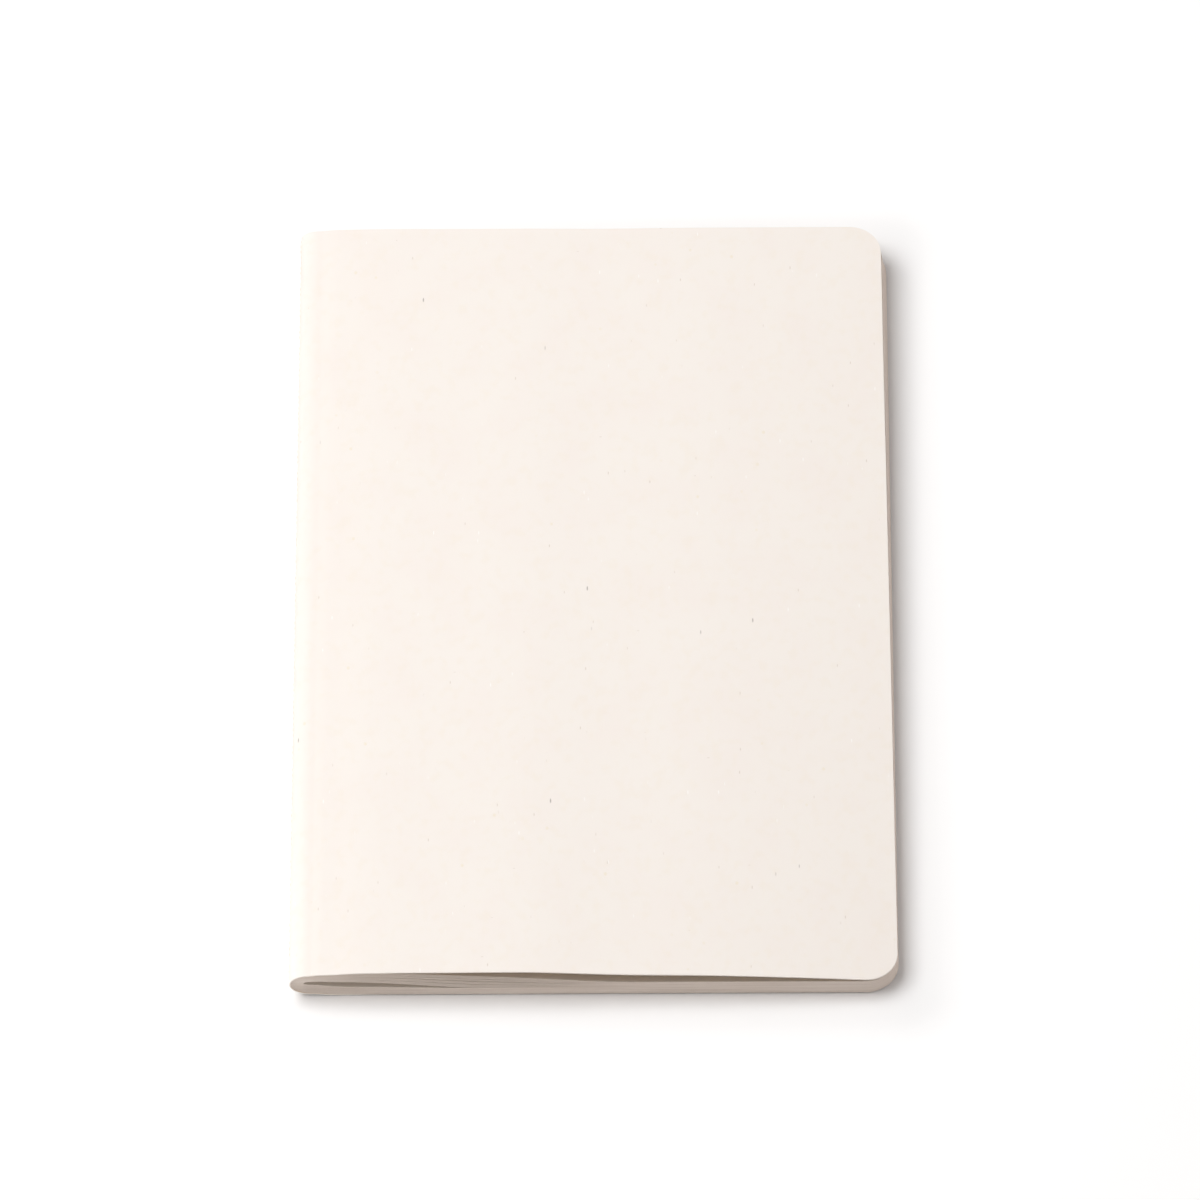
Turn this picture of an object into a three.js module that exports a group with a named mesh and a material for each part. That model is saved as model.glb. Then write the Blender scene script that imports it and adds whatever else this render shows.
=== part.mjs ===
// A soft-cover notebook lying closed on its back cover: one section of folded sheets, nested in a
// folded card cover and sewn through the fold. Millimetres, +Z up. The spine is on the left (-X),
// the fore-edge on the right, the tail at -Y and the head at +Y. The origin is under the middle.

import * as THREE from 'three';

// Trimmed format
const NOTEBOOK_WIDTH = 140; // outer thread on the spine to the fore-edge of the back cover
const NOTEBOOK_HEIGHT = 210; // tail to head
const CORNER_RADIUS = 7.5; // the two die-cut corners at the fore-edge

// Stock
const SHEETS = 16; // folded sheets in the section, two leaves each
const PAPER = 0.14; // thickness of a leaf
const CARD = 0.35; // thickness of the cover
const AIR_FILM = 0.01; // air between two sheets that are pressed together

// Trim: how far an edge lies inside the back cover's
const LEAF_FORE_EDGE_SETBACK = 0.3;
const FRONT_COVER_SETBACK = 0.6; // the arched front cover is drawn in a little more
const LEAF_END_SETBACK = 0.15; // at head and tail

// The sewn fold
const FOLD_CORE_RADIUS = 0.6; // inside the innermost sheet
const FOLD_SLACK = 0.5; // loose air across all the folds, from the cover in to the core
const CREASE_SETBACK = 1; // from the fold's axis to where the flat leaves begin
const FOLD_LIFT = 0.8; // how high the back cover's crease stands off the table
const FOLD_LIFT_END = 12; // from the spine, where the back cover lies down

// The swell of a new section that springs open round its fold. Stations are measured from the
// spine's face; each height is what that gap adds to the closed stack there. The tail gapes more
// round the fold, and at the head the front cover's free corner stands up off the leaves.
const HOLLOW_HEIGHT = 2.1; // the lens-shaped hollow inside the innermost sheet, at the tail
const HEAD_HOLLOW_HEIGHT = 1.4;
const HOLLOW_CREST = 14;
const HOLLOW_END = 48;
const BACK_AIR = 1.15; // air among the back leaves, widest at the fold
const BACK_AIR_END = 66;
const FRONT_AIR_AT_FOLD = 0.2; // air among the front leaves, which fan out behind the hollow
const FRONT_AIR = 2.95;
const HEAD_FRONT_AIR = 2;
const FRONT_AIR_CREST = 42;
const FRONT_AIR_END = 80;
const COVER_ARCH_START = 18; // the front cover arches clear of the leaves
const COVER_ARCH = 3.3;
const COVER_ARCH_CREST = 74;
const COVER_ARCH_TAPER = 66; // from the crest to where it would touch down, past the fore-edge
const HEAD_COVER_ARCH = 3.3;
const HEAD_COVER_ARCH_CREST = 90; // from here the cover stays level to the fore-edge

// Sewing thread
const THREAD_WIDTH = 0.44;
const THREAD_THICKNESS = 0.18; // pressed flat against the fold
const THREAD_SEAT = 0.02; // between a thread and the paper that it lies on
const STITCH_LENGTH = 6;
const STITCH_WAIST = 0.6; // share of the thread's section left where it dives into a hole
const THREAD_END_SETBACK = 0.6; // thread ends short of head and tail

// How finely curves are drawn
const PANEL_STEPS = 12;
const PANEL_CROWDING = 1.5; // above 1, more of the steps lie near the fold
const COVER_TAPER_STEPS = 3;
const CORNER_STEPS = 5;
const FOLD_STEPS = 8;
const THREAD_SIDES = 5;

const pitch = PAPER + AIR_FILM;
const spineFace = -NOTEBOOK_WIDTH / 2 + THREAD_THICKNESS + THREAD_SEAT;
const backEdge = NOTEBOOK_WIDTH / 2 - spineFace;
const leafEdge = backEdge - LEAF_FORE_EDGE_SETBACK;
const frontCoverEdge = backEdge - FRONT_COVER_SETBACK;
const coverHalf = NOTEBOOK_HEIGHT / 2;
const leafHalf = coverHalf - LEAF_END_SETBACK;

// Layer 0 is the cover and layers 1 to SHEETS are the sheets, from the outermost in.
const sheetNoseStep = pitch + FOLD_SLACK / SHEETS;
const noseOf = (layer) => (layer === 0 ? 0 : CARD + AIR_FILM + (layer - 1) * sheetNoseStep);
const foldAxis = noseOf(SHEETS + 1) + FOLD_CORE_RADIUS;
const crease = foldAxis + CREASE_SETBACK;

// The way from one station to the next: level at both, off at a slant, or in at a slant.
const levelEnds = (t) => THREE.MathUtils.smoothstep(t, 0, 1);
const slantedOff = (t) => Math.sin((t * Math.PI) / 2);
const slantedIn = (t) => 1 - Math.cos((t * Math.PI) / 2);

// A height that eases from one station to the next and is level beyond the first and the last.
function eased(...stations) {
  return (s) => {
    if (s <= stations[0][0]) return stations[0][1];
    for (let i = 1; i < stations.length; i += 1) {
      const [from, before] = stations[i - 1];
      const [to, after, way = levelEnds] = stations[i];
      if (s <= to) return THREE.MathUtils.lerp(before, after, way((s - from) / (to - from)));
    }
    return stations.at(-1)[1];
  };
}

const lift = eased([crease, FOLD_LIFT], [FOLD_LIFT_END, 0]);
const backAir = eased([crease, BACK_AIR], [BACK_AIR_END, 0, slantedOff]);
const hollowOf = (height) =>
  eased([crease, 2 * FOLD_CORE_RADIUS], [HOLLOW_CREST, height, slantedOff], [HOLLOW_END, 0]);
const frontAirOf = (height) =>
  eased([crease, FRONT_AIR_AT_FOLD], [FRONT_AIR_CREST, height, slantedOff], [FRONT_AIR_END, 0]);

const tail = {
  hollow: hollowOf(HOLLOW_HEIGHT),
  frontAir: frontAirOf(FRONT_AIR),
  coverArch: eased(
    [COVER_ARCH_START, 0],
    [COVER_ARCH_CREST, COVER_ARCH],
    [COVER_ARCH_CREST + COVER_ARCH_TAPER, 0, slantedIn],
  ),
};
const head = {
  hollow: hollowOf(HEAD_HOLLOW_HEIGHT),
  frontAir: frontAirOf(HEAD_FRONT_AIR),
  coverArch: eased([COVER_ARCH_START, 0], [HEAD_COVER_ARCH_CREST, HEAD_COVER_ARCH]),
};

// Undersides, at s millimetres from the spine's face. The back leaves lie alike at both ends.
function backLeafUnderside(sheet, s) {
  return lift(s) + CARD + AIR_FILM + (sheet - 1) * (pitch + backAir(s) / SHEETS);
}

function frontLeafUnderside(sheet, s, end) {
  const hollowFloor = backLeafUnderside(SHEETS + 1, s);
  return hollowFloor + end.hollow(s) + (SHEETS - sheet) * (pitch + end.frontAir(s) / SHEETS);
}

function frontCoverUnderside(s, end) {
  return frontLeafUnderside(0, s, end) + end.coverArch(s);
}

// One closed solid from rungs along a path. Each rung holds half of the solid's height along Y and
// gives, for a y on it, two points in XZ, a and b, with b to the left of the path seen from the tail.
function strip(rungs) {
  const positions = [];
  for (const { half, pair } of rungs) {
    const [tailPair, headPair] = [pair(-half), pair(half)];
    for (const side of ['a', 'b']) {
      positions.push(tailPair[side][0], -half, tailPair[side][1]);
      positions.push(headPair[side][0], half, headPair[side][1]);
    }
  }
  const indices = [];
  const quad = (p, q, r, t) => indices.push(p, q, r, p, r, t);
  const [aTail, aHead, bTail, bHead] = [0, 1, 2, 3];
  for (let i = 0; i < rungs.length - 1; i += 1) {
    const here = 4 * i;
    const next = here + 4;
    quad(here + bTail, next + bTail, next + bHead, here + bHead);
    quad(here + aTail, here + aHead, next + aHead, next + aTail);
    quad(here + aTail, next + aTail, next + bTail, here + bTail);
    quad(here + aHead, here + bHead, next + bHead, next + aHead);
  }
  const last = 4 * (rungs.length - 1);
  quad(aTail, bTail, bHead, aHead);
  quad(last + aTail, last + aHead, last + bHead, last + bTail);
  const geometry = new THREE.BufferGeometry();
  geometry.setAttribute('position', new THREE.Float32BufferAttribute(positions, 3));
  geometry.setIndex(indices);
  geometry.computeVertexNormals();
  return geometry;
}

// Every panel shares these stations where it bends with its neighbours.
const sharedStations = Array.from({ length: PANEL_STEPS + 1 }, (_, i) =>
  THREE.MathUtils.lerp(crease, FRONT_AIR_END, (i / PANEL_STEPS) ** PANEL_CROWDING),
);

// A panel from the crease to its fore-edge, with the two rounded corners, ruled from tail to head.
function panel({ underside, thickness, edge, endHalf, taperSteps = 0 }) {
  const cornerStart = edge - CORNER_RADIUS;
  const stations = sharedStations.map((s) => [s, endHalf]);
  for (let i = 1; i <= taperSteps; i += 1) {
    stations.push([THREE.MathUtils.lerp(FRONT_AIR_END, cornerStart, i / (taperSteps + 1)), endHalf]);
  }
  for (let i = 0; i <= CORNER_STEPS; i += 1) {
    const turn = (i / CORNER_STEPS) * (Math.PI / 2);
    const drop = CORNER_RADIUS * (1 - Math.cos(turn));
    stations.push([cornerStart + CORNER_RADIUS * Math.sin(turn), endHalf - drop]);
  }
  const pair = (s) => (y) => {
    const along = (y + endHalf) / (2 * endHalf);
    const low = THREE.MathUtils.lerp(underside(s, tail), underside(s, head), along);
    return { a: [spineFace + s, low], b: [spineFace + s, low + thickness] };
  };
  return strip(stations.map(([s, half]) => ({ half, pair: pair(s) })));
}

// The bend of one layer round the fold, from its back crease round the spine to its front one.
function bend({ nose, bottom, top, thickness, half }) {
  const reach = crease - nose;
  const middle = (bottom + top) / 2;
  const rise = (top - bottom) / 2;
  const rungs = [];
  for (let i = 0; i <= FOLD_STEPS; i += 1) {
    const turn = (i / FOLD_STEPS - 0.5) * Math.PI;
    const at = (inset) => [
      spineFace + crease - (reach - inset) * Math.cos(turn),
      middle + (rise - inset) * Math.sin(turn),
    ];
    rungs.push({ half, pair: () => ({ a: at(thickness), b: at(0) }) });
  }
  return strip(rungs);
}

// A flattened thread along Y, thick in the middle of each stitch and drawn in at each hole.
function thread() {
  const length = NOTEBOOK_HEIGHT - 2 * THREAD_END_SETBACK;
  const stitches = Math.max(1, Math.round(length / STITCH_LENGTH));
  const radius = THREAD_WIDTH / 2;
  const profile = [new THREE.Vector2(0, -length / 2)];
  for (let i = 0; i <= 2 * stitches; i += 1) {
    const waist = i % 2 === 0 ? STITCH_WAIST : 1;
    profile.push(new THREE.Vector2(radius * waist, (i / (2 * stitches) - 0.5) * length));
  }
  profile.push(new THREE.Vector2(0, length / 2));
  const geometry = new THREE.LatheGeometry(profile, THREAD_SIDES);
  return geometry.scale(THREAD_THICKNESS / THREAD_WIDTH, 1, 1);
}

const cardStock = { color: 0xf5ede4, roughness: 0.86, metalness: 0 };
const paperStock = { color: 0xf1ebe1, roughness: 0.9, metalness: 0 };
const cotton = { color: 0xe9e2d4, roughness: 0.8, metalness: 0 };

const notebook = new THREE.Group();

function add(name, geometry, finish, x = 0, z = 0) {
  const mesh = new THREE.Mesh(geometry, new THREE.MeshStandardMaterial(finish));
  mesh.name = name;
  mesh.position.set(x, 0, z);
  notebook.add(mesh);
}

// The card cover, scored and folded round the section.
const coverTop = frontCoverUnderside(crease, tail) + CARD;
add('back_cover', panel({ underside: lift, thickness: CARD, edge: backEdge, endHalf: coverHalf }), cardStock);
add(
  'cover_spine',
  bend({ nose: 0, bottom: lift(crease), top: coverTop, thickness: CARD, half: coverHalf }),
  cardStock,
);
add(
  'front_cover',
  panel({
    underside: frontCoverUnderside,
    thickness: CARD,
    edge: frontCoverEdge,
    endHalf: coverHalf,
    taperSteps: COVER_TAPER_STEPS,
  }),
  cardStock,
);

// The nested sheets, each a back leaf, a bend and a front leaf.
for (let sheet = 1; sheet <= SHEETS; sheet += 1) {
  const label = `sheet_${String(sheet).padStart(2, '0')}`;
  const leaf = { thickness: PAPER, edge: leafEdge, endHalf: leafHalf };
  add(`${label}_back_leaf`, panel({ ...leaf, underside: (s) => backLeafUnderside(sheet, s) }), paperStock);
  add(
    `${label}_front_leaf`,
    panel({ ...leaf, underside: (s, end) => frontLeafUnderside(sheet, s, end) }),
    paperStock,
  );
  add(
    `${label}_fold`,
    bend({
      nose: noseOf(sheet),
      bottom: backLeafUnderside(sheet, crease),
      top: frontLeafUnderside(sheet, crease, tail) + PAPER,
      thickness: PAPER,
      half: leafHalf,
    }),
    paperStock,
  );
}

// The two threads of the lockstitch: one along the outside of the spine, one inside the core.
const outerThreadHeight = (lift(crease) + coverTop) / 2;
const outerThreadX = spineFace - THREAD_SEAT - THREAD_THICKNESS / 2;
const coreBottom = backLeafUnderside(SHEETS, crease);
const coreTop = frontLeafUnderside(SHEETS, crease, tail) + PAPER;
const innerThreadX = spineFace + foldAxis - FOLD_CORE_RADIUS / 2;
add('needle_thread', thread(), cotton, outerThreadX, outerThreadHeight);
add('bobbin_thread', thread(), cotton, innerThreadX, (coreBottom + coreTop) / 2);

export default notebook;
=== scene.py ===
import math

import bmesh
import bpy
import numpy as np
from mathutils import Matrix, Vector


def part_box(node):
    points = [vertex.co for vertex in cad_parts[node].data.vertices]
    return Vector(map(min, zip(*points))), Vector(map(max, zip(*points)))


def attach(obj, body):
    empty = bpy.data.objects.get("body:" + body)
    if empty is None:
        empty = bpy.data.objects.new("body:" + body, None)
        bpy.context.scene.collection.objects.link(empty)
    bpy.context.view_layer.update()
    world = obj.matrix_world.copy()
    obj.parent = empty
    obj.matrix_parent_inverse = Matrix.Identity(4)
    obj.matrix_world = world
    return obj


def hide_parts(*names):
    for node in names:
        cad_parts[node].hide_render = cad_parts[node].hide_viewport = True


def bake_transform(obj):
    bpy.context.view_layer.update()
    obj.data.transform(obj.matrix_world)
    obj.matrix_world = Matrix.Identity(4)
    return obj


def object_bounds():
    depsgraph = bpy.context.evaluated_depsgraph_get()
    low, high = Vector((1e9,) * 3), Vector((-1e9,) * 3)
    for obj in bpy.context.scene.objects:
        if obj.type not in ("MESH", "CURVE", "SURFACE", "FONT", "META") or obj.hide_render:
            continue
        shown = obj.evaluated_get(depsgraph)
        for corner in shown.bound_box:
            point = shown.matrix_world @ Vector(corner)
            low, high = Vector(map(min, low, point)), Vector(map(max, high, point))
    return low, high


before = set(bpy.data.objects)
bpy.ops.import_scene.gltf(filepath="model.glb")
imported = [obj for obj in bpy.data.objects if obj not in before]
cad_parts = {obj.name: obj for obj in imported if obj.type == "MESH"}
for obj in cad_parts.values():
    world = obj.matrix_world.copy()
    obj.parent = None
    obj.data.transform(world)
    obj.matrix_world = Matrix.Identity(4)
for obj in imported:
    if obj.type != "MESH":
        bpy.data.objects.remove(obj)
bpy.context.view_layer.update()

# The folded sheets: sixteen sheets of off-white writing paper, nested and folded together into one
# section. A new section springs open round its fold, so the leaves swell there and fan out behind
# the hollow. Each sheet is made as two halves that meet on the spine line, where the stitches hold it.
MM = 0.001
MICRON = 1e-6
SHEETS = 16
PAPER = 0.14 * MM
PRESSED_PITCH = 0.15 * MM
CORNER_RADIUS = 7.5 * MM
# The mesh of a half sheet: steps round the fold, steps out to the corner that crowd towards the
# crease, steps round the corner, and rows from tail to head.
FOLD_STEPS = 12
PANEL_STEPS = 52
CREASE_CROWDING = 1.35
CORNER_STEPS = 14
ROWS = 16
SHARP_ANGLE = math.radians(40)
# Where a piece's ends are drawn in, the draw grows with the square of the way out from the fold, and
# at this rate it is full after a seventh of the way.
DRAW_IN_RATE = 50
# The guillotine cut the block's fore-edge a little off square and on a slope, so it reaches
# furthest at the foot: how far the foot and the top of the cut stand out at the tail and at the head.
CUT_FOOT = np.array((0.1, 1.1)) * MM
CUT_TOP = np.array((-0.15, -0.3)) * MM
# The fold is pressed flatter at the head than at the tail, by this share of its upper half.
HEAD_PRESSED = 0.2
PRESSED_REACH = 3.2 * MM
# How the front leaves cling together in clumps: each number is the air left above that leaf.
CLUMPS = (3, 4, 3, 3, 8, 3, 3, 4, 10, 3, 3, 7, 3, 4, 4)
# Share of the air that is left among them, as their own weight draws them off the front cover.
SETTLED = 0.90
# How far from the crease a front leaf keeps the height that its own fold gives it.
FOLD_HOLDS = 14 * MM
# At the head the front leaves spring up after the cover, and the top leaf by this share of its rise.
HEAD_FANNED = 0.85
FAN_START = 25 * MM
FAN_LENGTH = 70 * MM


def node_stations(node):
    """Underside of a CAD panel, by station: x, height at y = 0, slope along Y and half-length."""
    points = np.array([v.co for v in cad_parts[node].data.vertices])
    stations = []
    for x in sorted(set(np.round(points[:, 0], 6))):
        here = points[np.abs(points[:, 0] - x) < 2 * MICRON]
        half = here[:, 1].max()
        tail = here[here[:, 1] < -half + MICRON][:, 2].min()
        head = here[here[:, 1] > half - MICRON][:, 2].min()
        stations.append((x, (tail + head) / 2, (head - tail) / (2 * half), half))
    return np.array(stations)


def smooth_curve(x, knots, values):
    """A smooth curve through the knots that never swings past one of them."""
    secant = np.diff(values) / np.diff(knots)
    before, after = secant[:-1], secant[1:]
    same_way = before * after > 0
    mean = 2 * before * after / np.where(same_way, before + after, 1)
    slope = np.concatenate([[0], np.where(same_way, mean, 0), [secant[-1]]])
    i = np.clip(np.searchsorted(knots, x, side="right") - 1, 0, len(knots) - 2)
    width = knots[i + 1] - knots[i]
    t = (x - knots[i]) / width
    return (
        (2 * t**3 - 3 * t**2 + 1) * values[i]
        + (t**3 - 2 * t**2 + t) * width * slope[i]
        + (3 * t**2 - 2 * t**3) * values[i + 1]
        + (t**3 - t**2) * width * slope[i + 1]
    )


def panel_path(node):
    """Points from the crease to the fore-edge: x, underside height, slope along Y and half-length."""
    stations = node_stations(node)
    crease, edge, full_half = stations[0, 0], stations[-1, 0], stations[0, 3]
    corner = edge - CORNER_RADIUS
    run = crease + (corner - crease) * (np.arange(PANEL_STEPS) / PANEL_STEPS) ** CREASE_CROWDING
    turn = np.linspace(0, math.pi / 2, CORNER_STEPS + 1)
    x = np.concatenate([run, corner + CORNER_RADIUS * np.sin(turn)])
    half = np.concatenate([np.full(len(run), full_half), full_half - CORNER_RADIUS * (1 - np.cos(turn))])
    height = smooth_curve(x, stations[:, 0], stations[:, 1])
    slope = smooth_curve(x, stations[:, 0], stations[:, 2])
    return x, height, slope, half


def fold_arc(fold_node, upper, inset):
    """Half of an elliptical bend, from the spine line to the crease, inset from its outer face."""
    low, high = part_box(fold_node)
    middle, rise, reach = (low.z + high.z) / 2, (high.z - low.z) / 2, high.x - low.x
    turn = np.linspace(0, math.pi / 2, FOLD_STEPS + 1)[:-1]
    x = high.x - (reach - inset) * np.cos(turn)
    z = middle + (1 if upper else -1) * (rise - inset) * np.sin(turn)
    return x, z


def pressed(x, y, z):
    """Height of a point once the head end of the fold is pressed: it acts above the fold's middle."""
    low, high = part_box("cover_spine")
    middle = (low.z + high.z) / 2
    near_fold = np.exp(-((np.maximum(x - high.x, 0) / PRESSED_REACH) ** 2))
    share = HEAD_PRESSED * near_fold * (y / high.y + 1) / 2
    return np.where(z > middle, middle + (z - middle) * (1 - share), z)


def slab(name, outer, inner, half, fore_edges, draw_in=0.0):
    """A thin closed solid: outer and inner are (x, height, slope along Y) along one path.

    Each of the two has its fore-edge moved by so much at the tail and at the head. draw_in makes
    the ends shorter away from the fold.
    """
    share = np.linspace(-1, 1, ROWS + 1)
    grid = []
    for (x, height, slope), fore_edge in zip((outer, inner), fore_edges):
        out = ((x - x[0]) / (x[-1] - x[0])) ** 2
        y = (half - draw_in * np.minimum(DRAW_IN_RATE * out, 1))[:, None] * share[None, :]
        z = pressed(x[:, None], y, height[:, None] + slope[:, None] * y)
        trim = np.interp(y, (-half[0], half[0]), fore_edge)
        grid.append(np.stack([x[:, None] + trim * out[:, None], y, z], axis=-1))
    points, rows = grid[0].shape[:2]
    number = np.arange(2 * points * rows).reshape(2, points, rows)
    faces = []

    def skin(a):
        quads = np.stack([a[:-1, :-1], a[1:, :-1], a[1:, 1:], a[:-1, 1:]], axis=-1)
        faces.extend(quads.reshape(-1, 4).tolist())

    skin(number[0])
    outer_faces = len(faces)
    skin(number[1])
    inner_faces = range(outer_faces, len(faces))
    for wall in (number[:, 0], number[:, -1], number[:, :, 0], number[:, :, -1]):
        skin(wall)
    cut_faces = range(inner_faces.stop, len(faces))
    mesh = bpy.data.meshes.new(name)
    mesh.from_pydata(np.concatenate([g.reshape(-1, 3) for g in grid]).tolist(), [], faces)
    for material_index, numbers in enumerate((inner_faces, cut_faces), start=1):
        for face in numbers:
            mesh.polygons[face].material_index = material_index
    shell = bmesh.new()
    shell.from_mesh(mesh)
    bmesh.ops.recalc_face_normals(shell, faces=shell.faces)
    shell.to_mesh(mesh)
    shell.free()
    mesh.shade_smooth()
    mesh.set_sharp_from_angle(angle=SHARP_ANGLE)
    piece = bpy.data.objects.new(name, mesh)
    bpy.context.scene.collection.objects.link(piece)
    return piece


def half_sheet(name, fold_node, panel, upper, thickness, below, above, draw_in=0.0):
    """A panel and its half of the bend as one slab. panel is (x, underside, slope, half-length).

    below and above move the fore-edge of the underside and of the upper side.
    """
    x, under, slope, half = panel
    top = under + thickness
    outer_panel, inner_panel = (top, under) if upper else (under, top)
    arcs = [fold_arc(fold_node, upper, inset) for inset in (0, thickness)]
    level = np.zeros(FOLD_STEPS)
    path = [
        (np.concatenate([ax, x]), np.concatenate([az, pz]), np.concatenate([level, slope]))
        for (ax, az), pz in zip(arcs, (outer_panel, inner_panel))
    ]
    fore_edges = (above, below) if upper else (below, above)
    return slab(name, *path, np.concatenate([np.full(FOLD_STEPS, half[0]), half]), fore_edges, draw_in)


def new_material(name):
    """A material with its node tree's nodes and links."""
    material = bpy.data.materials.new(name)
    material.use_nodes = True
    return material, material.node_tree.nodes, material.node_tree.links


def add_node(nodes, kind, **settings):
    """A node whose settings are its sockets' values or its own options."""
    node = nodes.new(kind)
    for key, value in settings.items():
        if key in node.inputs:
            node.inputs[key].default_value = value
        else:
            setattr(node, key, value)
    return node


def stretched(nodes, links, scale, turn=0.0):
    """Object coordinates in millimetres, scaled and turned about Z."""
    place = add_node(nodes, "ShaderNodeTexCoord")
    mapping = add_node(nodes, "ShaderNodeMapping", Rotation=(0, 0, turn))
    mapping.inputs["Scale"].default_value = [s / MM for s in scale]
    links.new(place.outputs["Object"], mapping.inputs["Vector"])
    return mapping.outputs["Vector"]


def noise(nodes, links, scale, **settings):
    """Noise that is stretched over the piece by so much on each axis."""
    node = add_node(nodes, "ShaderNodeTexNoise", Scale=1.0, **settings)
    links.new(stretched(nodes, links, scale), node.inputs["Vector"])
    return node.outputs["Fac"]


def spread(nodes, links, value, low=0.0, high=1.0, start=0.0, end=1.0):
    """Spreads a value that runs from start to end over low to high."""
    node = add_node(nodes, "ShaderNodeMapRange")
    for socket, number in (("From Min", start), ("From Max", end), ("To Min", low), ("To Max", high)):
        node.inputs[socket].default_value = number
    links.new(value, node.inputs["Value"])
    return node.outputs["Result"]


def reckon(nodes, links, kind, operation, *values):
    """One sum on values that are sockets or plain numbers; kind is Math or VectorMath."""
    node = add_node(nodes, f"ShaderNode{kind}", operation=operation)
    for socket, value in zip(node.inputs, values):
        if isinstance(value, bpy.types.NodeSocket):
            links.new(value, socket)
        else:
            socket.default_value = value
    return node.outputs["Value" if operation == "LENGTH" else 0]


def ramp(nodes, links, value, stops):
    """A grey for each value, between the stops (position, grey)."""
    node = add_node(nodes, "ShaderNodeValToRGB")
    while len(node.color_ramp.elements) < len(stops):
        node.color_ramp.elements.new(0.5)
    for element, (position, shade) in zip(node.color_ramp.elements, stops):
        element.position = position
        element.color = (shade, shade, shade, 1)
    links.new(value, node.inputs["Fac"])
    return node.outputs["Color"]


def tinted(nodes, links, share, below, above):
    """A mix of two colours or colour sockets: all below at a share of 0, all above at 1."""
    mix = add_node(nodes, "ShaderNodeMix", data_type="RGBA")
    links.new(share, mix.inputs[0])
    for socket, colour in ((mix.inputs[6], below), (mix.inputs[7], above)):
        if isinstance(colour, tuple):
            socket.default_value = (*colour, 1)
        else:
            links.new(colour, socket)
    return mix.outputs[2]


def raised(nodes, links, shader, height, strength, depth):
    """Height as bump on the shader."""
    bump = add_node(nodes, "ShaderNodeBump", Strength=strength, Distance=depth)
    links.new(height, bump.inputs["Height"])
    links.new(bump.outputs["Normal"], shader.inputs["Normal"])


# The fibres lie along the sheet, so the tooth and the felt are drawn out that way.
TOOTH_DRAWN = 0.6
FELT_DRAWN = 0.7
FELT_DEPTH = 1.5


def paper_tooth(nodes, links, shader, fine, coarse, depth):
    """The felt of an uncoated sheet: fine tooth over soft unevenness, as bump on the shader."""
    tooth = noise(nodes, links, scale=(fine, fine * TOOTH_DRAWN, fine), Detail=5.0, Roughness=0.62)
    felt = noise(nodes, links, scale=(coarse, coarse * FELT_DRAWN, coarse), Detail=3.0)
    height = reckon(nodes, links, "Math", "MULTIPLY_ADD", felt, FELT_DEPTH, tooth)
    raised(nodes, links, shader, height, strength=1.0, depth=depth)


PAGE_WHITE = (0.80, 0.728, 0.652)
PAGE_CREAM = (0.77, 0.693, 0.612)
# The cut edges are painted darker and more saturated than the page faces, and darker still in streaks
# along each leaf: painted shade for the sheets shading one another and the bounce light among them.
SHADED_CUT_PALE = (0.775, 0.685, 0.615)
SHADED_CUT_STREAK = (0.66, 0.565, 0.495)


def page_paper():
    """Uncoated wood-free paper, warm white, a little cloudy, with a matt tooth."""
    material, nodes, links = new_material("page_paper")
    shader = nodes["Principled BSDF"]
    shader.inputs["Specular IOR Level"].default_value = 0.25
    clouds = noise(nodes, links, scale=(0.12, 0.09, 0.9), Detail=4.0)
    cloudy = ramp(nodes, links, clouds, stops=((0.3, 0.0), (0.75, 1.0)))
    links.new(tinted(nodes, links, cloudy, PAGE_WHITE, PAGE_CREAM), shader.inputs["Base Color"])
    links.new(spread(nodes, links, clouds, low=0.82, high=0.95), shader.inputs["Roughness"])
    paper_tooth(nodes, links, shader, fine=7.0, coarse=1.1, depth=0.012 * MM)
    return material


def shaded_cut_paper():
    """The cut edges of the leaves: the same paper in fine streaks along each leaf, painted darker and
    more saturated than the page faces as painted shade among the packed sheets.
    """
    material, nodes, links = new_material("shaded_cut_paper")
    shader = nodes["Principled BSDF"]
    shader.inputs["Specular IOR Level"].default_value = 0.2
    streaks = noise(nodes, links, scale=(0.035, 0.035, 2.6), Detail=3.0, Roughness=0.7)
    streak_shade = ramp(nodes, links, streaks, stops=((0.36, 0.0), (0.66, 1.0)))
    # Painted shade: the cut edges take darker colours than the page faces of the same paper.
    links.new(tinted(nodes, links, streak_shade, SHADED_CUT_PALE, SHADED_CUT_STREAK), shader.inputs["Base Color"])
    links.new(spread(nodes, links, streaks, low=0.85, high=0.98), shader.inputs["Roughness"])
    raised(nodes, links, shader, streaks, strength=0.6, depth=0.03 * MM)
    return material


page = page_paper()
leaf_faces = (page, page, shaded_cut_paper())


def finish_half(piece, materials, material_slot, body, fold_node, *nodes):
    """Gives the half its outer, inner and cut faces, hides the CAD parts that it replaces and bakes its
    placement into the mesh.
    """
    for material in materials:
        piece.data.materials.append(material)
    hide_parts(*nodes)
    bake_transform(piece)


def cut_edges(leaves_below):
    """Where the sloping cut meets the underside and the upper side of a leaf in the pile."""
    return [CUT_FOOT + (CUT_TOP - CUT_FOOT) * n / (2 * SHEETS) for n in (leaves_below, leaves_below + 1)]


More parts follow.
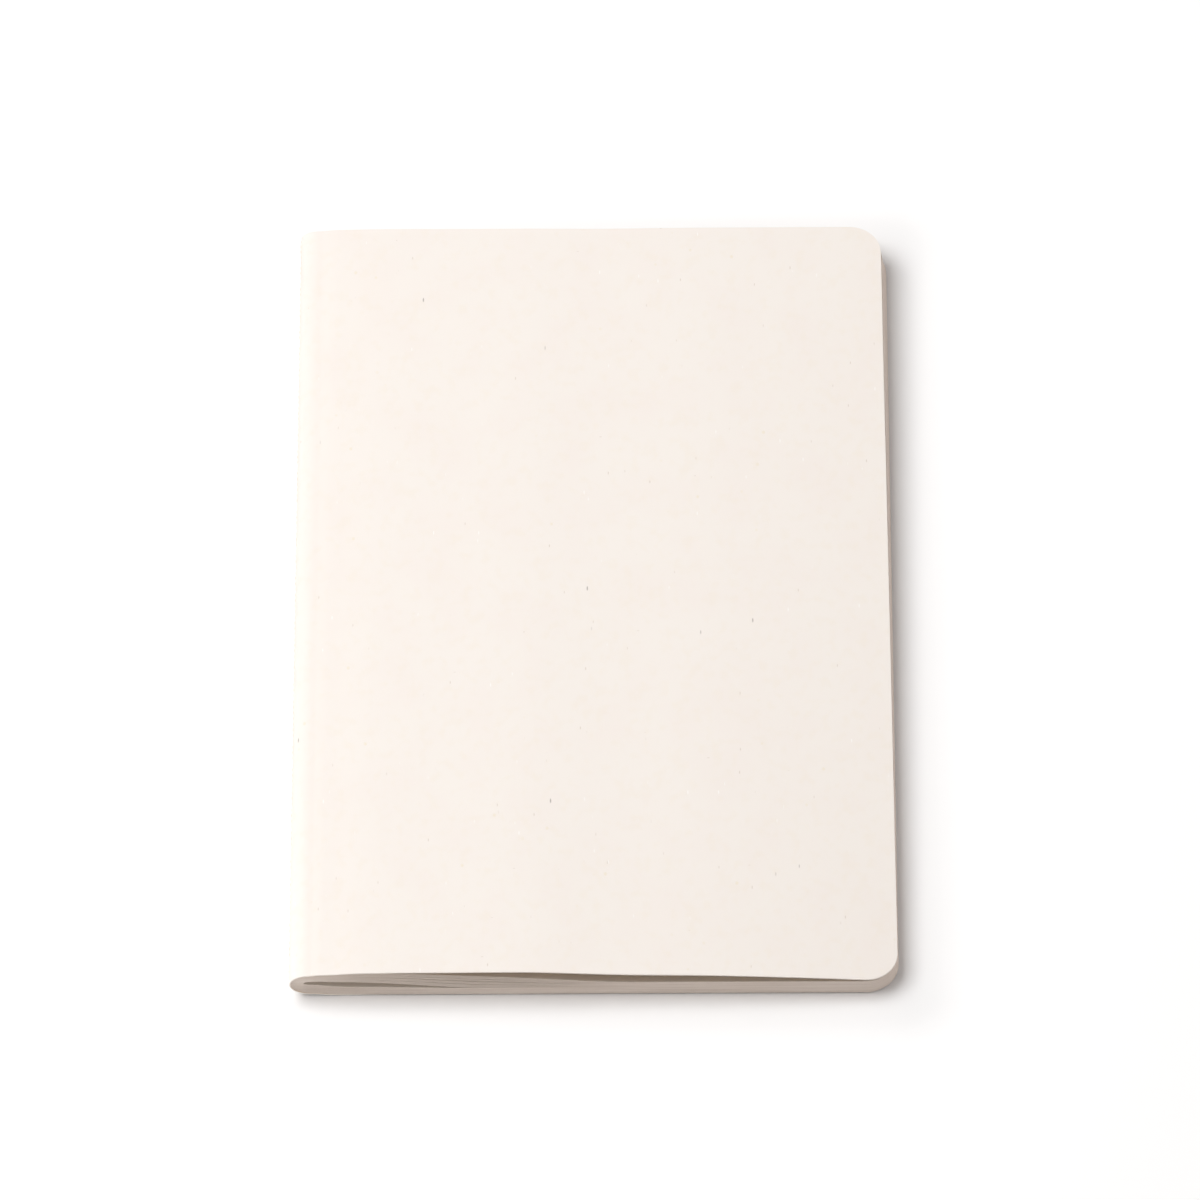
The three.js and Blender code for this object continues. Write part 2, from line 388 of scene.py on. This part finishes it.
innermost = panel_path(f"sheet_{SHEETS:02d}_front_leaf")
outermost = panel_path("sheet_01_front_leaf")
cover_above = panel_path("front_cover")
fan_share = np.clip((outermost[0] - outermost[0][0] - FAN_START) / FAN_LENGTH, 0, 1)
cover_rise = np.interp(outermost[0], cover_above[0], cover_above[2]) - outermost[2]
fan_slope = HEAD_FANNED * cover_rise * fan_share**2 * (3 - 2 * fan_share)
spare_air = SETTLED * (outermost[1] - innermost[1] - (SHEETS - 1) * PRESSED_PITCH)
spare_slope = outermost[2] - innermost[2]
air_below = np.concatenate([[0], np.cumsum(CLUMPS)]) / sum(CLUMPS)
for sheet in range(1, SHEETS + 1):
    label = f"sheet_{sheet:02d}"
    fold = f"{label}_fold"
    leaf = panel_path(f"{label}_back_leaf")
    back = half_sheet(f"{label}_back_half", fold, leaf, False, PAPER, *cut_edges(sheet - 1))
    body = f"back_leaf_{sheet:02d}"
    finish_half(back, leaf_faces, "page_paper", body, fold, f"{label}_back_leaf", fold)

    # A front leaf keeps its own height at the crease and takes up its clump's share further out.
    x, own, own_slope, half = panel_path(f"{label}_front_leaf")
    rank = SHEETS - sheet
    clumped = innermost[1] + rank * PRESSED_PITCH + spare_air * air_below[rank]
    clumped_slope = innermost[2] + spare_slope * air_below[rank]
    near_fold = np.exp(-(((x - x[0]) / FOLD_HOLDS) ** 2))
    lifted = fan_slope * rank / (SHEETS - 1)
    leaf = (
        x,
        own * near_fold + clumped * (1 - near_fold) + lifted * half[0],
        own_slope * near_fold + clumped_slope * (1 - near_fold) + lifted,
        half,
    )
    front = half_sheet(f"{label}_front_half", fold, leaf, True, PAPER, *cut_edges(2 * SHEETS - sheet))
    body = f"front_leaf_{sheet:02d}"
    finish_half(front, leaf_faces, "page_paper", body, fold, f"{label}_front_leaf")


# The bobbin thread: a pale two-ply cotton thread that runs along the inside of the innermost fold.
# A sewing machine locks it to the needle thread in the thickness of the fold, one stitch at a time.
STITCH_LENGTH = 6 * MM
THREAD_RADIUS = 0.12 * MM
# How deep a stitch dives at its holes, how far it rises between them as a share of that, and the
# most that it turns about X, Y and Z, in radians.
STITCH_DIVE = 0.16 * MM
CREST_SHARE = 0.6
STITCH_SLANT = Vector((0.004, 0.0, 0.012))
COTTON = (0.92, 0.88, 0.82)
COTTON_GROOVE_SHADE = (0.80, 0.74, 0.66)


def cotton_thread():
    """Two-ply cotton: soft slanting plies, painted darker where they meet as painted shade in the
    groove, with a fibrous sheen.
    """
    material, nodes, links = new_material("cotton_thread")
    shader = nodes["Principled BSDF"]
    shader.inputs["Roughness"].default_value = 0.78
    shader.inputs["Sheen Weight"].default_value = 0.25
    ply = add_node(nodes, "ShaderNodeTexWave", Scale=1.0, Distortion=0.6, bands_direction="DIAGONAL")
    links.new(stretched(nodes, links, scale=(0.4, 0.4, 0.4)), ply.inputs["Vector"])
    plies = ply.outputs["Fac"]
    # The grooves between the plies are painted darker: painted shade.
    links.new(tinted(nodes, links, plies, COTTON_GROOVE_SHADE, COTTON), shader.inputs["Base Color"])
    raised(nodes, links, shader, plies, strength=1.0, depth=0.05 * MM)
    return material


cotton = cotton_thread()


def stitch_tree():
    """A row of stitches along +Y: each is a short arch of thread whose ends dive at the holes."""
    tree = bpy.data.node_groups.new("stitch_row", "GeometryNodeTree")
    inputs = {
        "Geometry": "Geometry",
        "Stitches": "Int",
        "Stitch Length": "Float",
        "Thread Radius": "Float",
        "First Hole": "Vector",
        "Dive": "Vector",
        "Seed": "Int",
        "Thread": "Material",
    }
    for name, kind in inputs.items():
        tree.interface.new_socket(name, in_out="INPUT", socket_type=f"NodeSocket{kind}")
    tree.interface.new_socket("Geometry", in_out="OUTPUT", socket_type="NodeSocketGeometry")
    nodes, links = tree.nodes, tree.links
    given = nodes.new("NodeGroupInput")
    out = nodes.new("NodeGroupOutput")

    step = nodes.new("ShaderNodeCombineXYZ")
    links.new(given.outputs["Stitch Length"], step.inputs["Y"])
    holes = nodes.new("GeometryNodeMeshLine")
    links.new(given.outputs["Stitches"], holes.inputs["Count"])
    links.new(given.outputs["First Hole"], holes.inputs["Start Location"])
    links.new(step.outputs[0], holes.inputs["Offset"])

    half_step = add_node(nodes, "ShaderNodeVectorMath", operation="SCALE", Scale=0.5)
    links.new(step.outputs[0], half_step.inputs[0])
    crest = add_node(nodes, "ShaderNodeVectorMath", operation="SCALE", Scale=-CREST_SHARE)
    links.new(given.outputs["Dive"], crest.inputs[0])
    ends = (given.outputs["Dive"], half_step.outputs[0])
    arch = add_node(nodes, "GeometryNodeCurveQuadraticBezier", Resolution=12)
    links.new(reckon(nodes, links, "VectorMath", "SUBTRACT", *ends), arch.inputs["Start"])
    links.new(crest.outputs[0], arch.inputs["Middle"])
    links.new(reckon(nodes, links, "VectorMath", "ADD", *ends), arch.inputs["End"])

    ring = add_node(nodes, "GeometryNodeCurvePrimitiveCircle", Resolution=8)
    links.new(given.outputs["Thread Radius"], ring.inputs["Radius"])
    tube = nodes.new("GeometryNodeCurveToMesh")
    tube.inputs["Fill Caps"].default_value = True
    links.new(arch.outputs[0], tube.inputs["Curve"])
    links.new(ring.outputs[0], tube.inputs["Profile Curve"])

    slant = nodes.new("FunctionNodeRandomValue")
    slant.data_type = "FLOAT_VECTOR"
    slant.inputs[0].default_value = -STITCH_SLANT
    slant.inputs[1].default_value = STITCH_SLANT
    links.new(given.outputs["Seed"], slant.inputs["Seed"])
    place = nodes.new("GeometryNodeInstanceOnPoints")
    links.new(holes.outputs[0], place.inputs["Points"])
    links.new(tube.outputs[0], place.inputs["Instance"])
    links.new(slant.outputs[0], place.inputs["Rotation"])
    real = nodes.new("GeometryNodeRealizeInstances")
    links.new(place.outputs[0], real.inputs[0])
    finish = nodes.new("GeometryNodeSetMaterial")
    links.new(real.outputs[0], finish.inputs["Geometry"])
    links.new(given.outputs["Thread"], finish.inputs["Material"])
    links.new(finish.outputs[0], out.inputs[0])
    return tree


stitch_row = stitch_tree()


def sewn_thread(name, node, dive, seed):
    """One of the two threads: a row of stitches in its CAD node's box, diving along `dive`."""
    low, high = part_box(node)
    centre = (low + high) / 2
    count = round((high.y - low.y) / STITCH_LENGTH)
    length = (high.y - low.y) / count
    host = bpy.data.objects.new(name, bpy.data.meshes.new(name))
    bpy.context.scene.collection.objects.link(host)
    modifier = host.modifiers.new("stitches", "NODES")
    modifier.node_group = stitch_row
    values = {
        "Stitches": count,
        "Stitch Length": length,
        "Thread Radius": THREAD_RADIUS,
        "First Hole": (centre.x, low.y + length / 2, centre.z),
        "Dive": dive,
        "Seed": seed,
        "Thread": cotton,
    }
    for item in stitch_row.interface.items_tree:
        if item.in_out == "INPUT" and item.name in values:
            modifier[item.identifier] = values[item.name]
    bpy.context.view_layer.update()
    graph = bpy.context.evaluated_depsgraph_get()
    plain = bpy.data.meshes.new_from_object(host.evaluated_get(graph))
    host.modifiers.clear()
    host.data = plain
    plain.name = name
    plain.shade_smooth()
    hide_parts(node)
    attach(host, "sewn_fold")


sewn_thread("bobbin_stitches", "bobbin_thread", dive=(-STITCH_DIVE, 0, 0), seed=3)


# The cover: one piece of ivory recycled card, scored and folded round the section and sewn through
# with it. The card is matt, faintly cloudy, with fine fibres and specks. The back cover lies flat.
CARD = 0.35 * MM
IVORY = (0.905, 0.854, 0.800)
IVORY_WARM = (0.885, 0.812, 0.715)
IVORY_ROSY = (0.900, 0.827, 0.775)
# The card's inner face is a little browner than its outer face, and it is painted much darker than the
# card is, as painted shade for the gap between the cover and the leaves.
INNER_PAINTED_SHADE = (0.68, 0.54, 0.40)
INNER_WARM_PAINTED_SHADE = (0.64, 0.49, 0.34)
FLECK_BROWN = (0.42, 0.32, 0.24)
FLECK_GREY = (0.50, 0.45, 0.42)
FLECK_FAINT = (0.76, 0.69, 0.62)
FLECK_STRAW = (0.87, 0.80, 0.69)
FLECK_PALE = (0.97, 0.94, 0.90)
# The heart of a fleck as a share of its size, and the share of the flecks that have their full tint.
FLECK_HEART = 0.45
FLECK_FULL = 0.4


def flecks(nodes, links, cell, size, share, turn):
    """Sparse flecks: a mask of small soft spots in a random few of the cells."""
    cells = add_node(nodes, "ShaderNodeTexVoronoi", Scale=1.0, Randomness=1.0)
    links.new(stretched(nodes, links, cell, turn), cells.inputs["Vector"])
    spot = spread(nodes, links, cells.outputs["Distance"], start=size, end=size * FLECK_HEART)
    chosen = add_node(nodes, "ShaderNodeSeparateColor")
    links.new(cells.outputs["Color"], chosen.inputs[0])
    few = spread(nodes, links, chosen.outputs["Red"], start=1 - share, end=1 - share * FLECK_FULL)
    return reckon(nodes, links, "Math", "MULTIPLY", spot, few)


def recycled_card(name, ground, warm, rosy):
    """Matt recycled card: a cloudy ground with sparse flecks and fibres, and a coarse tooth."""
    material, nodes, links = new_material(name)
    shader = nodes["Principled BSDF"]
    shader.inputs["Specular IOR Level"].default_value = 0.28
    clouds = noise(nodes, links, scale=(0.10, 0.08, 0.3), Detail=3.0)
    cloudy = ramp(nodes, links, clouds, stops=((0.42, 0.0), (0.70, 0.45)))
    colour = tinted(nodes, links, cloudy, ground, rosy)
    patches = noise(nodes, links, scale=(0.42, 0.34, 0.4), Detail=1.0)
    patchy = ramp(nodes, links, patches, stops=((0.50, 0.0), (0.74, 0.32)))
    colour = tinted(nodes, links, patchy, colour, warm)
    # Each layer of flecks: how close its cells lie on each axis, the size of a fleck in its cell, the
    # share of the cells that have one, the turn of the layer and the tint.
    layers = (
        ((0.75, 0.20, 0.75), 0.16, 0.008, 0.12, FLECK_GREY),
        ((0.85, 0.26, 0.85), 0.15, 0.05, -0.5, FLECK_FAINT),
        ((0.24, 0.8, 0.8), 0.10, 0.025, 0.3, FLECK_FAINT),
        ((0.62, 0.5, 0.6), 0.09, 0.008, 0.0, FLECK_BROWN),
        ((0.40, 0.32, 0.40), 0.2, 0.04, 0.2, FLECK_STRAW),
        ((0.9, 0.24, 0.9), 0.17, 0.07, 0.35, FLECK_PALE),
    )
    for cell, size, share, turn, tint in layers:
        colour = tinted(nodes, links, flecks(nodes, links, cell, size, share, turn), colour, tint)
    links.new(colour, shader.inputs["Base Color"])
    links.new(spread(nodes, links, clouds, low=0.78, high=0.93), shader.inputs["Roughness"])
    paper_tooth(nodes, links, shader, fine=5.0, coarse=0.7, depth=0.02 * MM)
    return material


ivory_card = recycled_card("ivory_card", IVORY, IVORY_WARM, IVORY_ROSY)
# The inner face's material is painted shade: its dark brown stands for the shade in the gap under the
# front cover.
inner_card_painted_shade = recycled_card("inner_card_painted_shade", INNER_PAINTED_SHADE, INNER_WARM_PAINTED_SHADE, INNER_WARM_PAINTED_SHADE)
card_faces = (ivory_card, inner_card_painted_shade, ivory_card)


EDGE_ROUNDING = 0.1 * MM
CUT_ANGLE = math.radians(50)


def soften_edges(piece):
    """Cut card edges are slightly rounded by the trimmer and by handling."""
    bevel = piece.modifiers.new("soft_edges", "BEVEL")
    bevel.width = EDGE_ROUNDING
    bevel.segments = 2
    bevel.limit_method = "ANGLE"
    bevel.angle_limit = CUT_ANGLE
    bpy.context.view_layer.update()
    graph = bpy.context.evaluated_depsgraph_get()
    rounded = bpy.data.meshes.new_from_object(piece.evaluated_get(graph))
    piece.modifiers.clear()
    piece.data = rounded


BACK_FORE_EDGE = np.array((-0.2, 0.75)) * MM
BACK_DRAWN_IN = 0.4 * MM
spine = "cover_spine"
back_cover = half_sheet(
    "back_cover_panel",
    spine,
    panel_path("back_cover"),
    False,
    CARD,
    BACK_FORE_EDGE,
    BACK_FORE_EDGE,
    BACK_DRAWN_IN,
)
soften_edges(back_cover)
finish_half(back_cover, card_faces, "cover_card", "back_cover", spine, "back_cover", spine)


# The front cover: the upper half of the same card. It arches clear of the leaves and comes down on
# them at its tail corner. At the head its free corner stands up, which draws the fore-edge in a little.
FRONT_FORE_EDGE = np.array((0.1, -0.1)) * MM
front_cover = half_sheet(
    "front_cover_panel",
    spine,
    panel_path("front_cover"),
    True,
    CARD,
    FRONT_FORE_EDGE,
    FRONT_FORE_EDGE,
)
soften_edges(front_cover)
finish_half(front_cover, card_faces, "cover_card", "front_cover", spine, "front_cover")


# The needle thread: the outer thread of the same lockstitch. It runs down the middle of the spine
# in short stitches that are drawn into the card at each needle hole.
sewn_thread("needle_stitches", "needle_thread", dive=(STITCH_DIVE, 0, 0), seed=8)


# The table and the light: a white sweep, a broad soft light from the upper left, a pale room, a
# reflector low on the right and a small white card before the tail end of the spine. The camera
# looks down from beyond the tail with a long lens.
FLOOR_REACH = 3.0
FLOOR_DROP = 0.2 * MM
FLOOR_WHITE = (0.93, 0.93, 0.93, 1)
# The camera sees the floor a little brighter than it is. The lift is nothing at the notebook's outline
# and full a little way out, so the unlifted band beside the notebook is a painted shadow that makes its
# real shadow darker there and fade out sooner. Far away the floor is lifted again, so that the floor is
# white from every side.
FLOOR_LIFT = 0.14
PAINTED_SHADOW_REACH = 20 * MM
FAR_FLOOR = (0.15, 1.2)


def seen_directly(nodes, links):
    """1 for the rays that show the table and the room, and 0 for the rays that light the notebook."""
    path = add_node(nodes, "ShaderNodeLightPath")
    seen = path.outputs["Is Camera Ray"]
    for ray in ("Is Glossy Ray", "Is Transmission Ray"):
        seen = reckon(nodes, links, "Math", "MAXIMUM", seen, path.outputs[ray])
    return seen


def white_sweep(half_size):
    """Matt white board under a notebook that reaches half_size from the middle."""
    material, nodes, links = new_material("white_sweep")
    shader = nodes["Principled BSDF"]
    shader.inputs["Base Color"].default_value = FLOOR_WHITE
    shader.inputs["Roughness"].default_value = 0.9
    shader.inputs["Specular IOR Level"].default_value = 0.1
    shader.inputs["Emission Color"].default_value = (1, 1, 1, 1)
    place = add_node(nodes, "ShaderNodeTexCoord").outputs["Object"]
    off_centre = reckon(nodes, links, "VectorMath", "ABSOLUTE", place)
    beyond = reckon(nodes, links, "VectorMath", "SUBTRACT", off_centre, (half_size.x, half_size.y, 0))
    outside = reckon(nodes, links, "VectorMath", "MAXIMUM", beyond)
    away = reckon(nodes, links, "VectorMath", "LENGTH", outside)
    # Painted shadow: the lift fades to nothing towards the notebook's outline, so the floor next to it
    # stays darker.
    lift_past_painted_shadow = add_node(nodes, "ShaderNodeMapRange", interpolation_type="SMOOTHERSTEP")
    lift_past_painted_shadow.inputs["From Max"].default_value = PAINTED_SHADOW_REACH
    lift_past_painted_shadow.inputs["To Max"].default_value = FLOOR_LIFT
    links.new(away, lift_past_painted_shadow.inputs["Value"])
    far = spread(nodes, links, away, start=FAR_FLOOR[0], end=FAR_FLOOR[1])
    both = reckon(nodes, links, "Math", "ADD", lift_past_painted_shadow.outputs["Result"], far)
    white = reckon(nodes, links, "Math", "MULTIPLY", both, seen_directly(nodes, links))
    links.new(white, shader.inputs["Emission Strength"])
    return material


floor_mesh = bpy.data.meshes.new("floor")
corners = ((-1, -1), (1, -1), (1, 1), (-1, 1))
floor_points = [(sx * FLOOR_REACH, sy * FLOOR_REACH, -FLOOR_DROP) for sx, sy in corners]
floor_mesh.from_pydata(floor_points, [], [(0, 1, 2, 3)])
floor = bpy.data.objects.new("floor", floor_mesh)
floor.data.materials.append(white_sweep(Vector(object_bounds()[1])))
bpy.context.scene.collection.objects.link(floor)

# The room lights the notebook evenly, and the reflector on the right by so much more in its middle.
# The higher its focus, the narrower the reflector is.
ROOM_LIGHT = 0.27
ROOM_COLOUR = (1.0, 0.95, 0.93)
REFLECTOR = 1.0
REFLECTOR_FOCUS = 4.0
WHITE = (1.0, 1.0, 1.0)
world = bpy.data.worlds.new("studio")
world.use_nodes = True
bpy.context.scene.world = world
sky, sky_links = world.node_tree.nodes, world.node_tree.links
seen = seen_directly(sky, sky_links)
sky_links.new(tinted(sky, sky_links, seen, ROOM_COLOUR, WHITE), sky["Background"].inputs["Color"])
sideways = add_node(sky, "ShaderNodeSeparateXYZ")
sky_links.new(add_node(sky, "ShaderNodeTexCoord").outputs["Generated"], sideways.inputs[0])
rightward = reckon(sky, sky_links, "Math", "MAXIMUM", sideways.outputs["X"], 0.0)
focus = reckon(sky, sky_links, "Math", "POWER", rightward, REFLECTOR_FOCUS)
room = reckon(sky, sky_links, "Math", "MULTIPLY_ADD", focus, REFLECTOR, ROOM_LIGHT)
whole = reckon(sky, sky_links, "Math", "MAXIMUM", room, seen)
sky_links.new(whole, sky["Background"].inputs["Strength"])


def soft_light(name, place, aim, width, height, watts):
    """A soft box or a reflector card: a rectangle of light at `place` that faces `aim`."""
    data = bpy.data.lights.new(name, "AREA")
    data.shape = "RECTANGLE"
    data.size = width
    data.size_y = height
    data.energy = watts
    light = bpy.data.objects.new(name, data)
    light.location = place
    light.rotation_euler = (place - aim).to_track_quat("Z", "Y").to_euler()
    light.visible_camera = False
    bpy.context.scene.collection.objects.link(light)


# Where the lights stand, in metres from the middle of the notebook's underside.
KEY_FROM = Vector((-0.62, 0.12, 1.20))
KEY_SIZE = 0.95
KEY_WATTS = 16.8
soft_light("key", KEY_FROM, Vector(), KEY_SIZE, KEY_SIZE, KEY_WATTS)
CARD_FROM = Vector((-0.16, -0.20, 0.02))
CARD_AIM = Vector((-0.06, -0.105, 0.004))
CARD_WIDTH = 0.14
CARD_HEIGHT = 0.032
CARD_WATTS = 0.04
soft_light("low_card", CARD_FROM, CARD_AIM, CARD_WIDTH, CARD_HEIGHT, CARD_WATTS)

CAMERA_TILT = math.radians(33.634)
CAMERA_TURN = math.radians(0.139)
CAMERA_ROLL = math.radians(-0.384)
CAMERA_TARGET = Vector((1.64, 0.92, 4.0)) * MM
CAMERA_DISTANCE = 2.3076
LENS = 295.0
SENSOR = 36.0
VIEW_END = 20
camera_data = bpy.data.cameras.new("camera")
camera_data.lens = LENS
camera_data.sensor_width = SENSOR
camera_data.clip_end = VIEW_END
camera = bpy.data.objects.new("camera", camera_data)
aim = (
    Matrix.Rotation(CAMERA_TURN, 4, "Z")
    @ Matrix.Rotation(CAMERA_TILT, 4, "X")
    @ Matrix.Rotation(CAMERA_ROLL, 4, "Z")
)
camera.matrix_world = (
    Matrix.Translation(CAMERA_TARGET) @ aim @ Matrix.Translation((0, 0, CAMERA_DISTANCE))
)
bpy.context.scene.collection.objects.link(camera)
bpy.context.scene.camera = camera
bpy.context.scene.view_settings.view_transform = "Standard"
